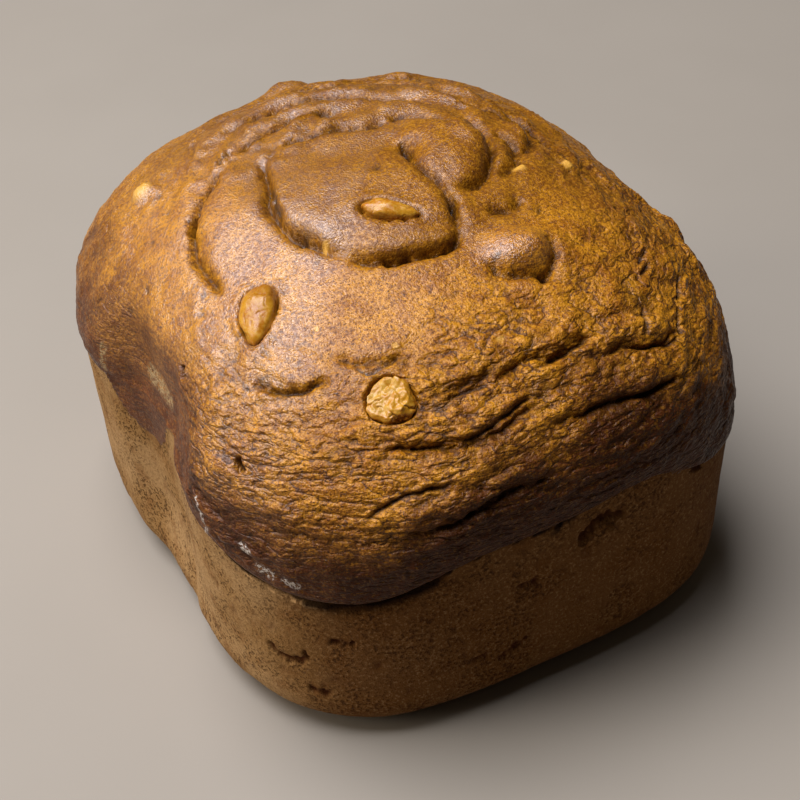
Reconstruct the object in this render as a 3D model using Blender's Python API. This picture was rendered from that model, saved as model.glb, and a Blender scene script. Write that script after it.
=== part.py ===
# A pumpkin loaf baked in a bread-machine pan, with three walnut pieces showing in its crust.
# All sizes are millimetres until a mesh is made, when they become metres.
# The loaf stands on z = 0 with +Z up, -Y to the front and its longest side along Y.
#
# A place on the loaf is (bearing, level). The bearing is in degrees round the upright axis,
# 0 at +X and 90 at +Y. The level is 0 at the foot, 1 at the rim where the crust leaves the
# pan side, 2 at the widest ring of the crown and 3 at the middle of the top.

import math

import bpy
import bmesh
import numpy as np
from mathutils import Vector, noise

MM = 0.001

# The pan side: a superellipse that leans out a little, with a rounded foot.
FOOT_HALF_X = 68.0
FOOT_HALF_Y = 78.4
PAN_POWER = 3.43
WALL_LEAN = 0.022
LEAN_HEIGHT = 51.0
FOOT_ROUND = 12.0

# Height of the rim every 15 degrees of bearing. The crust ends higher on some walls.
RIM_HEIGHT = (50, 51, 52, 50, 52, 54, 53, 55, 53, 50, 54, 58,
              59, 59, 54, 48, 46.5, 53.5, 54.5, 56.5, 48, 47, 49, 50)

# The crown: widest at one height, and domed above it.
WIDEST_HEIGHT = 64.0
CROWN_TOP = 103.3
RISE_POWER = 1.80
SHOULDER_POWER = 2.13
CROWN_PLAN_POWER = 2.59
TOP_PLAN_POWER = 1.93
TOP_LEANS = (3.2, 3.2)
# How far the crown bulges past the wall, every 22.5 degrees of bearing.
CROWN_BULGE = (0.2, 0.5, 1.2, 1.3, 1.3, 0.2, 0.9, 1.9, 3.0, 3.6, 3.5, 3.3, 3.2, 3.1, 2.5, 0.8)
# The edge of the crust stands out over the pan side by this much, every 45 degrees.
CRUST_LIP = (0.5, 0.5, 0.6, 0.6, 0.7, 0.9, 1.3, 0.6)
LIP_RISE = 0.14

# The pan's upright rib leaves a groove in the middle of the left side, and in the right one.
# Its slopes are spans of y: a near slope with a steeper lip in it, and a gentle far slope.
LEFT_GROOVE_DEPTH = 5.5
RIGHT_GROOVE_DEPTH = 4.0
GROOVE_NEAR_SLOPE = (-42.0, -20.0)
GROOVE_NEAR_LIP = (-26.0, -17.0)
GROOVE_LIP_SHARE = 0.5
GROOVE_FAR_SLOPE = (-2.0, 14.0)
# At the foot the groove keeps this share of its depth, and it fades out up the crown.
GROOVE_FOOT_SHARE = 0.3
GROOVE_FOOT_HEIGHT = 28.0
GROOVE_TOP = (68.0, 90.0)
# Over the left groove, between these spans of y, the crown draws in instead of bulging.
DRAWN_IN_NEAR = (-46.0, -24.0)
DRAWN_IN_FAR = (4.0, 20.0)
DRAWN_IN = 1.2

# The plan centre of the box round the finished loaf, taken off so that the origin is there.
BOX_CENTRE = (-0.81, -1.48)

# Folds: name, depth, half width, height of the swell beside it, then places along it.
FOLDS = (
    ("big lobe, left", 2.2, 3.2, 0.8,
     ((156, 2.77), (168, 2.78), (180, 2.77), (194, 2.72), (206, 2.71), (220, 2.70), (233, 2.69))),
    ("big lobe, front", 2.4, 3.0, 0.8,
     ((233, 2.69), (242, 2.70), (250, 2.71), (258, 2.71), (266, 2.72), (270, 2.74))),
    ("big lobe, right", 2.4, 2.8, 0.8,
     ((270, 2.74), (274, 2.79), (278, 2.84), (276, 2.89), (280, 2.94), (320, 2.97))),
    ("big lobe, back", 1.4, 3.0, 0.5,
     ((142, 2.79), (132, 2.85), (115, 2.89), (87, 2.93), (60, 2.91))),
    ("second lobe, back", 1.6, 2.8, 0.6,
     ((60, 2.91), (48, 2.89), (30, 2.88), (6, 2.86), (357, 2.82))),
    ("second lobe, right", 2.0, 2.8, 0.7,
     ((10, 2.79), (346, 2.79), (328, 2.80), (316, 2.81), (300, 2.81), (284, 2.83))),
    ("third fold", 1.5, 2.8, 0.6,
     ((354, 2.76), (346, 2.74), (336, 2.74), (323, 2.76), (310, 2.79))),
    ("fourth fold", 1.5, 3.0, 0.6,
     ((22, 2.71), (12, 2.69), (2, 2.66), (354, 2.66), (344, 2.69), (336, 2.73))),
    ("outer fold", 1.3, 3.2, 0.5,
     ((50, 2.58), (36, 2.62), (20, 2.64), (3, 2.62), (346, 2.62), (335, 2.61))),
    ("back fold, low", 1.2, 3.2, 0.5,
     ((119, 2.54), (107, 2.55), (96, 2.58), (80, 2.62), (62, 2.62), (50, 2.58))),
    ("back fold, middle", 1.2, 3.0, 0.5,
     ((124, 2.64), (114, 2.68), (98, 2.71), (80, 2.76), (58, 2.80), (40, 2.79))),
    ("back fold, high", 1.1, 2.8, 0.5,
     ((140, 2.70), (126, 2.75), (108, 2.80), (92, 2.85))),
    ("left crease", 1.5, 3.0, 0.6,
     ((146, 2.68), (158, 2.65), (166, 2.61), (174, 2.58), (184, 2.55), (194, 2.54), (202, 2.53))),
    ("crease by the swell", 1.2, 2.6, 0.4,
     ((286, 2.76), (294, 2.74), (304, 2.73))),
    ("under the nut swell", 1.8, 2.6, 0.4,
     ((272, 2.67), (274, 2.63), (279, 2.61), (284, 2.59), (290, 2.61), (293, 2.66))),
    ("front wrinkle 1", 1.2, 2.8, 0.5,
     ((262, 2.41), (266, 2.43), (270, 2.44), (275, 2.42), (279, 2.44), (284, 2.43))),
    ("front wrinkle 2", 1.1, 2.8, 0.5,
     ((232, 2.50), (238, 2.49), (242, 2.50), (248, 2.51))),
    ("front wrinkle 3", 1.1, 2.8, 0.5,
     ((250, 2.41), (254, 2.42), (259, 2.43), (265, 2.45))),
    ("front wrinkle 4", 1.1, 2.8, 0.5,
     ((284, 2.38), (288, 2.37), (294, 2.32), (300, 2.31))),
    ("front wrinkle 5", 1.3, 2.8, 0.6,
     ((296, 2.21), (289, 2.23), (283, 2.25), (276, 2.27), (268, 2.27))),
    ("front wrinkle 6", 1.2, 2.8, 0.5,
     ((242, 2.31), (248, 2.30), (254, 2.29), (260, 2.30), (264, 2.32), (269, 2.34))),
    ("front wrinkle 7", 1.2, 2.8, 0.5,
     ((244, 2.03), (250, 2.05), (256, 2.09), (262, 2.12), (268, 2.12))),
    ("front wrinkle 8", 1.0, 2.6, 0.4,
     ((218, 2.40), (224, 2.40), (229, 2.42), (234, 2.46))),
)

# Swells: name, place, height, radius along the bearing, radius up the crown.
SWELLS = (
    ("big lobe", (232, 2.84), 3.0, 21.0, 16.0),
    ("second lobe", (330, 2.90), 3.2, 13.0, 10.0),
    ("nut under the crust", (282, 2.665), 3.2, 6.5, 6.0),
    ("swell beside it", (290, 2.635), 1.6, 6.0, 6.0),
    ("back bump", (88, 2.50), 2.6, 6.0, 4.0),
    ("right bump", (334, 2.27), 1.6, 4.5, 4.0),
    ("small nut at the left", (146, 2.47), 2.4, 3.2, 3.2),
    ("left lobe", (180, 2.66), 1.6, 13.0, 9.0),
)

# Walnut pieces: node, places its length runs from and to, length, width, height, how far its
# middle is sunk, how much it narrows to the second place, and the share of its half height at
# which it is broken flat.
WALNUTS = (
    ("walnut_crown", (236, 2.809), (255, 2.796), 12.8, 5.4, 5.6, 0.6, 0.18, 1.3),
    ("walnut_left", (211.3, 2.573), (215, 2.503), 14.4, 8.2, 6.4, 0.6, 0.30, 1.3),
    ("walnut_front", (241, 2.434), (247.3, 2.391), 10.4, 9.8, 6.8, 1.0, 0.15, 0.60),
)
WALNUT_SUBDIVISIONS = 3
WALNUT_LUMPS = 0.15
LUMPS_PER_RADIUS = 1.7
BREAK_SLANT = 0.25
# The crust stays this far from each piece in the pocket that holds it.
POCKET_GAP = 0.35

# The mesh: points along each side of the top patch, and the levels of the rows below it.
PATCH_SIDE = 42
PATCH_LEVEL = 2.30
PATCH_CROWDING = 1.1
PATCH_BEND = 1.15
WALL_LEVELS = (0.0, 0.012, 0.045, 0.10, 0.17, 0.24, 0.50, 0.76, 0.94)
CROWN_LEVELS = (1.0, 1.0 + LIP_RISE, 1.5, 1.9, 2.06, 2.12, 2.18, 2.24)
# The smallest radius or half width of a swell or fold that this mesh can show.
SMALLEST_FORM = 3.0


def smooth(low, high, value):
    """0 below low, 1 above high, and an S curve between."""
    t = np.clip((value - low) / (high - low), 0.0, 1.0)
    return t * t * (3.0 - 2.0 * t)


def around(values, bearing):
    """A smooth closed curve through values spaced evenly round the loaf."""
    v = np.asarray(values, float)
    count = len(v)
    turn = (bearing / (2.0 * np.pi) * count) % count
    i = np.floor(turn).astype(int)
    f = turn - i
    a, b, c, d = (v[(i + k) % count] for k in (-1, 0, 1, 2))
    return b + 0.5 * f * (c - a + f * (2 * a - 5 * b + 4 * c - d + f * (3 * (b - c) + d - a)))


def superellipse(bearing, half_x, half_y, power):
    """Distance from the axis to a rounded rectangle at a bearing."""
    c = np.abs(np.cos(bearing)) / half_x
    s = np.abs(np.sin(bearing)) / half_y
    return (c ** power + s ** power) ** (-1.0 / power)


def groove(y, height):
    """How much of its full depth the pan's rib presses in."""
    across = (1.0 - GROOVE_LIP_SHARE) * smooth(*GROOVE_NEAR_LIP, y)
    across = across + GROOVE_LIP_SHARE * smooth(*GROOVE_NEAR_SLOPE, y)
    across = across * (1.0 - smooth(*GROOVE_FAR_SLOPE, y))
    foot = smooth(0.0, GROOVE_FOOT_HEIGHT, height)
    up = GROOVE_FOOT_SHARE + (1.0 - GROOVE_FOOT_SHARE) * foot
    return across * up * (1.0 - smooth(*GROOVE_TOP, height))


def drawn_in(y, height):
    """How much of its bulge the crown loses over the left groove."""
    across = smooth(*DRAWN_IN_NEAR, y) * (1.0 - smooth(*DRAWN_IN_FAR, y))
    return DRAWN_IN * across * (1.0 - smooth(*GROOVE_TOP, height))


def plain_loaf(bearing, level):
    """Points of the loaf without its folds, from bearings in radians and levels."""
    bearing, level = np.broadcast_arrays(np.asarray(bearing, float), np.asarray(level, float))
    rim = around(RIM_HEIGHT, bearing)
    wall = np.clip(level, 0.0, 1.0)
    under = np.clip(level - 1.0, 0.0, 1.0)
    dome = np.clip(level - 2.0, 0.0, 1.0) * np.pi / 2.0
    inward = np.cos(dome) ** (2.0 / SHOULDER_POWER)
    height = rim * wall + (WIDEST_HEIGHT - rim) * under
    height = height + (CROWN_TOP - WIDEST_HEIGHT) * np.sin(dome) ** (2.0 / RISE_POWER)
    power = PAN_POWER + (CROWN_PLAN_POWER - PAN_POWER) * under
    power = power + (TOP_PLAN_POWER - CROWN_PLAN_POWER) * (1.0 - inward)
    below = np.maximum(FOOT_ROUND - height, 0.0)
    foot = FOOT_ROUND - np.sqrt(np.maximum(FOOT_ROUND ** 2 - below ** 2, 0.0))
    reach = superellipse(bearing, FOOT_HALF_X, FOOT_HALF_Y, power)
    reach = reach + WALL_LEAN * np.minimum(height, LEAN_HEIGHT) - foot
    left = smooth(0.3, 0.8, -np.cos(bearing))
    right = smooth(0.3, 0.8, np.cos(bearing))
    bulge = around(CROWN_BULGE, bearing) * (1.0 - (1.0 - under) ** 2)
    bulge = bulge + around(CRUST_LIP, bearing) * smooth(0.0, LIP_RISE, under)
    reach = reach + bulge * (1.0 - left * drawn_in(reach * np.sin(bearing), height))
    x = reach * inward * np.cos(bearing) + TOP_LEANS[0] * (1.0 - inward)
    y = reach * inward * np.sin(bearing) + TOP_LEANS[1] * (1.0 - inward)
    pressed = groove(y, height) * inward
    x = x + pressed * (left * LEFT_GROOVE_DEPTH - right * RIGHT_GROOVE_DEPTH)
    return np.stack([x, y, height], axis=-1)


def place(spot):
    """The point of the plain loaf at a (bearing in degrees, level)."""
    return plain_loaf(math.radians(spot[0]), spot[1])


def axes_at(spot):
    """Point, direction round the loaf, direction up it and outward normal at a place."""
    step = 0.01
    bearing = math.radians(spot[0])
    point = plain_loaf(bearing, spot[1])
    round_way = plain_loaf(bearing + step, spot[1]) - plain_loaf(bearing - step, spot[1])
    up_way = plain_loaf(bearing, spot[1] + step) - plain_loaf(bearing, spot[1] - step)
    round_way = round_way / np.linalg.norm(round_way)
    normal = np.cross(round_way, up_way)
    normal = normal / np.linalg.norm(normal)
    return point, round_way, np.cross(normal, round_way), normal


def smooth_path(spots, steps=4):
    """A smooth curve on the loaf through places, as 3-D points."""
    p = [place(spot) for spot in spots]
    p = [2 * p[0] - p[1]] + p + [2 * p[-1] - p[-2]]
    path = []
    for a, b, c, d in zip(p, p[1:], p[2:], p[3:]):
        for f in np.arange(steps) / steps:
            path.append(b + 0.5 * f * (c - a + f * (2 * a - 5 * b + 4 * c - d
                                                    + f * (3 * (b - c) + d - a))))
    path.append(p[-2])
    return np.array(path)


def distance_to_path(points, path):
    """Distance from each point to a path, and how far along it from 0 to 1 the nearest spot is."""
    best = np.full(len(points), 1e9)
    along = np.zeros(len(points))
    for i, (a, b) in enumerate(zip(path, path[1:])):
        run = b - a
        f = np.clip((points - a) @ run / (run @ run), 0.0, 1.0)
        gap = np.linalg.norm(points - a - f[:, None] * run, axis=1)
        nearer = gap < best
        best = np.where(nearer, gap, best)
        along = np.where(nearer, (i + f) / (len(path) - 1), along)
    return best, along


def relief(points):
    """How far each point of the plain loaf moves out along its normal."""
    out = np.zeros(len(points))
    for _, spot, height, wide, tall in SWELLS:
        centre, round_way, up_way, normal = axes_at(spot)
        offset = points - centre
        wide = max(wide, 1.4 * SMALLEST_FORM)
        tall = max(tall, 1.4 * SMALLEST_FORM)
        r2 = (offset @ round_way / wide) ** 2 + (offset @ up_way / tall) ** 2
        r2 = r2 + (offset @ normal / (wide + tall)) ** 2
        out += height * np.exp(-1.2 * r2 ** 1.5)
    for _, depth, half, swell, spots in FOLDS:
        half = max(half, SMALLEST_FORM)
        gap, along = distance_to_path(points, smooth_path(spots))
        ends = smooth(0.0, 0.12, along) * (1.0 - smooth(0.88, 1.0, along))
        out -= depth * ends * np.exp(-(gap / half) ** 2)
        out += swell * ends * np.exp(-((gap - 2.2 * half) / (1.2 * half)) ** 2)
    return out


def patch_places(count, edge_level):
    """Bearings and levels of a square grid laid over the top of the crown."""
    a = np.linspace(-1.0, 1.0, count + 1)
    a = np.sin(a * PATCH_CROWDING) / math.sin(PATCH_CROWDING)
    x, y = np.meshgrid(a, a, indexing="ij")
    disc_x = x * np.sqrt(1.0 - y * y / 2.0)
    disc_y = y * np.sqrt(1.0 - x * x / 2.0)
    edge = math.cos((edge_level - 2.0) * math.pi / 2.0) ** (2.0 / SHOULDER_POWER)
    disc = np.minimum(np.hypot(disc_x, disc_y), 1.0)
    inward = edge * np.sin(PATCH_BEND * disc) / math.sin(PATCH_BEND)
    dome = np.arccos(np.clip(inward, 0.0, 1.0) ** (SHOULDER_POWER / 2.0))
    return np.arctan2(disc_y, disc_x), 2.0 + dome / (np.pi / 2.0)


def edge_walk(count):
    """The grid's edge points in order, anticlockwise seen from above."""
    front = [(k, 0) for k in range(count)]
    right = [(count, k) for k in range(count)]
    back = [(count - k, count) for k in range(count)]
    left = [(0, count - k) for k in range(count)]
    return front + right + back + left


def loaf_mesh():
    """Vertices and faces of the loaf: a flat foot, rings up the side and a grid on top."""
    count = PATCH_SIDE
    bearing, level = patch_places(count, PATCH_LEVEL)
    walk = edge_walk(count)
    ring_bearing = np.array([bearing[i, j] for i, j in walk])
    places = []
    for row in WALL_LEVELS + CROWN_LEVELS:
        places += [(b, row) for b in ring_bearing]
    number = {}
    for i in range(count + 1):
        for j in range(count + 1):
            number[(i, j)] = len(places)
            places.append((bearing[i, j], level[i, j]))
    places = np.array(places)
    b, t = places[:, 0], places[:, 1]
    points = plain_loaf(b, t)
    step = 0.01
    round_way = plain_loaf(b + step, t) - plain_loaf(b - step, t)
    up_way = plain_loaf(b, np.minimum(t + step, 2.999)) - plain_loaf(b, t - step)
    normal = np.cross(round_way, up_way)
    normal /= np.maximum(np.linalg.norm(normal, axis=1), 1e-9)[:, None]
    normal = np.where((t > 2.98)[:, None], np.array([0.0, 0.0, 1.0]), normal)
    points = points + normal * (relief(points) * smooth(1.0, 1.6, t))[:, None]
    ring = len(walk)
    rows = len(WALL_LEVELS) + len(CROWN_LEVELS)
    faces = [tuple(range(ring - 1, -1, -1))]
    for row in range(rows - 1):
        for k in range(ring):
            n = (k + 1) % ring
            faces.append((row * ring + k, row * ring + n, (row + 1) * ring + n, (row + 1) * ring + k))
    top_ring = [number[spot] for spot in walk]
    last = (rows - 1) * ring
    for k in range(ring):
        n = (k + 1) % ring
        faces.append((last + k, last + n, top_ring[n], top_ring[k]))
    for i in range(count):
        for j in range(count):
            faces.append((number[(i, j)], number[(i + 1, j)],
                          number[(i + 1, j + 1)], number[(i, j + 1)]))
    return points, faces


def material(name, hex_colour, roughness):
    """A Principled material from an sRGB colour."""
    made = bpy.data.materials.new(name)
    made.use_nodes = True
    channels = [int(hex_colour[i:i + 2], 16) / 255.0 for i in (0, 2, 4)]
    linear = [c / 12.92 if c <= 0.04045 else ((c + 0.055) / 1.055) ** 2.4 for c in channels]
    shader = made.node_tree.nodes["Principled BSDF"]
    shader.inputs["Base Color"].default_value = (*linear, 1.0)
    shader.inputs["Roughness"].default_value = roughness
    shader.inputs["Metallic"].default_value = 0.0
    made.diffuse_color = (*linear, 1.0)
    return made


def add_object(name, points, faces, finish):
    """A mesh object from points in millimetres."""
    mesh = bpy.data.meshes.new(name)
    shifted = np.asarray(points) - np.array([BOX_CENTRE[0], BOX_CENTRE[1], 0.0])
    mesh.from_pydata((shifted * MM).tolist(), [], faces)
    mesh.validate()
    made = bpy.data.objects.new(name, mesh)
    bpy.context.scene.collection.objects.link(made)
    if finish is not None:
        mesh.materials.append(finish)
    mesh.shade_smooth()
    return made


def walnut_points(row, grow):
    """A lumpy walnut piece lying on the crust, and its faces. A pocket is the same, grown."""
    name, end_a, end_b, length, width, height, sunk, taper, broken = row
    ball = bmesh.new()
    bmesh.ops.create_icosphere(ball, subdivisions=WALNUT_SUBDIVISIONS, radius=1.0)
    faces = [tuple(v.index for v in face.verts) for face in ball.faces]
    directions = np.array([v.co[:] for v in ball.verts])
    ball.free()
    spot = ((end_a[0] + end_b[0]) / 2.0, (end_a[1] + end_b[1]) / 2.0)
    centre, _, _, normal = axes_at(spot)
    lift = relief(centre[None, :])[0] - sunk
    long_way = place(end_b) - place(end_a)
    long_way = long_way - normal * (long_way @ normal)
    long_way = long_way / np.linalg.norm(long_way)
    side_way = np.cross(normal, long_way)
    seed = Vector((len(name), width, height))
    lumps = np.array([noise.noise(Vector(d) * LUMPS_PER_RADIUS + seed) for d in directions])
    size = 1.0 + WALNUT_LUMPS * lumps
    half = np.array([length / 2.0, width / 2.0, height / 2.0])
    local = directions * (half * size[:, None] + grow)
    local[:, 1:] *= 1.0 - taper * directions[:, :1]
    top = half[2] * (broken + BREAK_SLANT * directions[:, 0]) + grow
    local[:, 2] = np.minimum(local[:, 2], top)
    points = centre + normal * lift
    points = points + local[:, :1] * long_way + local[:, 1:2] * side_way + local[:, 2:] * normal
    return points, faces


def build():
    for old in list(bpy.data.objects):
        bpy.data.objects.remove(old, do_unlink=True)
    crust = material("baked_crust", "8A4F22", 0.55)
    nut = material("walnut_flesh", "CFA04A", 0.45)
    points, faces = loaf_mesh()
    loaf = add_object("loaf", points, faces, crust)
    for walnut in WALNUTS:
        points, faces = walnut_points(walnut, 0.0)
        add_object(walnut[0], points, faces, nut)
        points, faces = walnut_points(walnut, POCKET_GAP)
        cutter = add_object(walnut[0] + "_pocket", points, faces, None)
        cutter.hide_render = True
        cutter.display_type = "WIRE"
        cut = loaf.modifiers.new(walnut[0] + "_pocket", "BOOLEAN")
        cut.operation = "DIFFERENCE"
        cut.solver = "EXACT"
        cut.object = cutter


build()
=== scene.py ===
# The looks of a pumpkin loaf baked in a bread-machine pan: a wrinkled brown crust over matt pan
# sides, three pieces of walnut in it, and a plain pale floor with soft window-like light.
# Forms are worked out in millimetres and become metres when a mesh is made.
# A place on the loaf is (bearing, level). The bearing is in degrees round the upright axis,
# 0 at +X and 90 at +Y. The level is 0 at the foot, 1 at the rim where the crust leaves the
# pan side, 2 at the widest ring of the crown and 3 at the middle of the top.

import math
import random
from functools import partial

import bmesh
import bpy
import numpy as np
from mathutils import Euler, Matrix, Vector, noise


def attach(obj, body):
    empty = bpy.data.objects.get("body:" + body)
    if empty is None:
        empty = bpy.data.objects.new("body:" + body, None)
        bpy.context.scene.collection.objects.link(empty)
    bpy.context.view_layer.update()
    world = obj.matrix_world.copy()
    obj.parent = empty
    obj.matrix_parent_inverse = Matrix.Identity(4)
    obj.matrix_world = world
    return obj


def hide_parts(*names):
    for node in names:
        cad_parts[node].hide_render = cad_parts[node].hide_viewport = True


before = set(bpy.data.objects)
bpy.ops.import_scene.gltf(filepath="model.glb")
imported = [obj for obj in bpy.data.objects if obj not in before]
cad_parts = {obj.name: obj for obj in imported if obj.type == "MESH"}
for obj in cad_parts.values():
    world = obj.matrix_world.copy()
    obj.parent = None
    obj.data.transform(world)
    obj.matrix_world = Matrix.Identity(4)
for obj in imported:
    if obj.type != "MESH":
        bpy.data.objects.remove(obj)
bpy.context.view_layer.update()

MM = 0.001
# The small step, in radians and levels, over which directions on the loaf are measured.
STEP = 0.01

# The pan side: a superellipse that leans out a little, with a rounded foot.
FOOT_HALF_X = 68.0
FOOT_HALF_Y = 78.4
PAN_POWER = 3.43
WALL_LEAN = 0.022
LEAN_HEIGHT = 51.0
FOOT_ROUND = 12.0

# Height of the rim every 15 degrees of bearing, as the solid has it.
RIM_HEIGHT = (50, 51, 52, 50, 52, 54, 53, 55, 53, 50, 54, 58,
              59, 59, 54, 48, 46.5, 53.5, 54.5, 56.5, 48, 47, 49, 50)

# The crown: widest at one height, and domed above it.
WIDEST_HEIGHT = 64.0
CROWN_TOP = 103.3
RISE_POWER = 1.80
SHOULDER_POWER = 2.13
CROWN_PLAN_POWER = 2.59
TOP_PLAN_POWER = 1.93
TOP_LEANS = (3.2, 3.2)
# How far the crown bulges past the wall, every 22.5 degrees of bearing.
CROWN_BULGE = (0.2, 0.5, 1.2, 1.3, 1.3, 0.2, 0.9, 1.9, 3.0, 3.6, 3.5, 3.3, 3.2, 3.1, 2.5, 0.8)
# The edge of the crust stands out over the pan side by this much, every 45 degrees.
CRUST_LIP = (0.5, 0.5, 0.6, 0.6, 0.7, 0.9, 1.3, 0.6)
LIP_RISE = 0.14

# The pan's upright rib leaves a groove in the middle of the left side, and in the right one.
# Its slopes are spans of y: a near slope with a steeper lip in it, and a gentle far slope.
LEFT_GROOVE_DEPTH = 5.5
RIGHT_GROOVE_DEPTH = 4.0
GROOVE_NEAR_SLOPE = (-42.0, -20.0)
GROOVE_NEAR_LIP = (-26.0, -17.0)
GROOVE_LIP_SHARE = 0.5
GROOVE_FAR_SLOPE = (-2.0, 14.0)
# At the foot the groove keeps this share of its depth, and it fades out up the crown.
GROOVE_FOOT_SHARE = 0.3
GROOVE_FOOT_HEIGHT = 28.0
GROOVE_TOP = (68.0, 90.0)
# Over the left groove, between these spans of y, the crown draws in instead of bulging.
DRAWN_IN_NEAR = (-46.0, -24.0)
DRAWN_IN_FAR = (4.0, 20.0)
DRAWN_IN = 1.2

# The plan centre of the box round the finished loaf, taken off so that the origin is there.
BOX_CENTRE = (-0.81, -1.48)

# Folds: depth, half width, swell on the left and on the right of the way they run, and places.
FOLDS = (
    (3.0, 1.25, 1.4, 0.1,
     ((150, 2.775), (161, 2.765), (177, 2.76), (189, 2.734), (204, 2.717), (214, 2.715), (233, 2.702))),
    (3.0, 1.25, 1.3, 0.1,
     ((229, 2.705), (241, 2.704), (247, 2.708), (254, 2.712), (262, 2.714), (268, 2.723), (271, 2.75))),
    (2.8, 1.3, 1.0, 0.4,
     ((270, 2.74), (274, 2.79), (278, 2.84), (276, 2.89), (280, 2.94), (320, 2.97))),
    (1.5, 2.0, 0.6, 0.5,
     ((60, 2.91), (87, 2.93), (115, 2.89), (132, 2.85), (142, 2.79))),
    (1.8, 1.9, 0.8, 0.5,
     ((357, 2.82), (6, 2.86), (30, 2.88), (48, 2.89), (60, 2.91))),
    (2.4, 1.5, 1.6, 0.3,
     ((284, 2.83), (300, 2.81), (316, 2.81), (328, 2.80), (346, 2.79), (10, 2.79))),
    (1.7, 1.9, 0.8, 0.5,
     ((310, 2.79), (323, 2.76), (336, 2.74), (346, 2.74), (354, 2.76))),
    (1.7, 2.0, 0.8, 0.5,
     ((336, 2.73), (344, 2.69), (354, 2.66), (2, 2.66), (12, 2.69), (22, 2.71))),
    (1.5, 2.1, 0.7, 0.5,
     ((335, 2.61), (346, 2.62), (3, 2.62), (20, 2.64), (36, 2.62), (50, 2.58))),
    (1.4, 2.0, 0.7, 0.5,
     ((50, 2.58), (62, 2.62), (80, 2.62), (96, 2.58), (107, 2.55), (119, 2.54))),
    (1.4, 1.9, 0.7, 0.5,
     ((40, 2.79), (58, 2.80), (80, 2.76), (98, 2.71), (114, 2.68), (124, 2.64))),
    (1.3, 1.8, 0.6, 0.4,
     ((92, 2.85), (108, 2.80), (126, 2.75), (140, 2.70))),
    (1.1, 1.7, 0.6, 0.4,
     ((20, 2.74), (40, 2.69), (60, 2.67), (82, 2.67), (100, 2.64))),
    (1.7, 1.9, 0.8, 0.4,
     ((146, 2.68), (158, 2.65), (166, 2.61), (174, 2.58), (184, 2.55), (194, 2.54), (202, 2.53))),
    (1.3, 1.6, 0.5, 0.3,
     ((286, 2.76), (294, 2.74), (304, 2.73))),
    (2.0, 1.6, 0.6, 0.2,
     ((272, 2.67), (274, 2.63), (279, 2.61), (284, 2.59), (290, 2.61), (293, 2.66))),
    (1.2, 1.4, 0.6, 0.3,
     ((262, 2.41), (266, 2.43), (270, 2.44), (275, 2.42), (279, 2.44), (284, 2.43))),
    (0.6, 1.2, 0.4, 0.3,
     ((232, 2.50), (238, 2.49), (242, 2.50), (248, 2.51))),
    (1.0, 1.4, 0.6, 0.3,
     ((250, 2.41), (254, 2.42), (259, 2.43), (265, 2.45))),
    (1.0, 1.4, 0.6, 0.3,
     ((284, 2.38), (288, 2.37), (294, 2.32), (300, 2.31))),
    (1.1, 1.4, 0.7, 0.3,
     ((268, 2.27), (276, 2.27), (283, 2.25), (289, 2.23), (296, 2.21))),
    (1.1, 1.4, 0.6, 0.3,
     ((242, 2.31), (248, 2.30), (254, 2.29), (260, 2.30), (264, 2.32), (269, 2.34))),
    (1.0, 1.4, 0.6, 0.3,
     ((244, 2.03), (250, 2.05), (256, 2.09), (262, 2.12), (268, 2.12))),
    (0.6, 1.2, 0.4, 0.3,
     ((218, 2.40), (224, 2.40), (229, 2.42), (234, 2.46))),
)

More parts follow.
